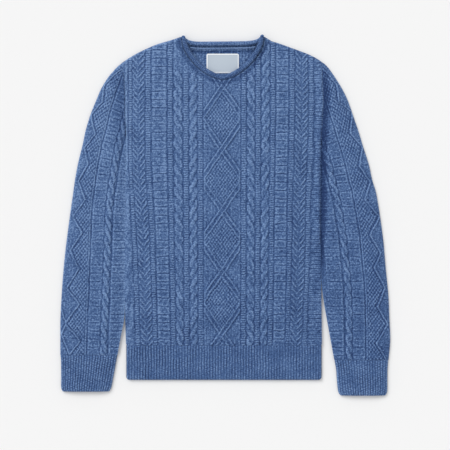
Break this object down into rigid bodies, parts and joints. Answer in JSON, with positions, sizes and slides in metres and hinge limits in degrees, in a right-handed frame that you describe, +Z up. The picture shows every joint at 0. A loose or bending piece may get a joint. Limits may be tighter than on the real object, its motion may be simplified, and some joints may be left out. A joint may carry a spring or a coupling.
{
  "type": "crewneck sweater",
  "caption": "Cable-knit crewneck sweater laid flat with its front up, with a rolled neckband, long sleeves, and a ribbed hem and cuffs.",
  "frame": {"origin": "centre of the bounding box, on the surface the sweater lies on", "axes": "+X to the right as seen from above with the neck at the top, +Y towards the neck, +Z up from the surface; the front faces +Z"},
  "size_m": [0.661, 0.7207, 0.0176],
  "materials": {
    "wool_yarn": "marled denim-blue wool, matt and slightly fuzzy",
    "woven_label": "off-white woven satin label, blank"
  },
  "bodies": {
    "root": {"front_panel": "wool_yarn", "back_panel": "wool_yarn", "hem_rib_front": "wool_yarn", "hem_rib_back": "wool_yarn", "sleeve_left": "wool_yarn", "sleeve_right": "wool_yarn", "cuff_left": "wool_yarn", "cuff_right": "wool_yarn", "neckband_roll": "wool_yarn", "neck_label": "woven_label"}
  },
  "joints": []
}
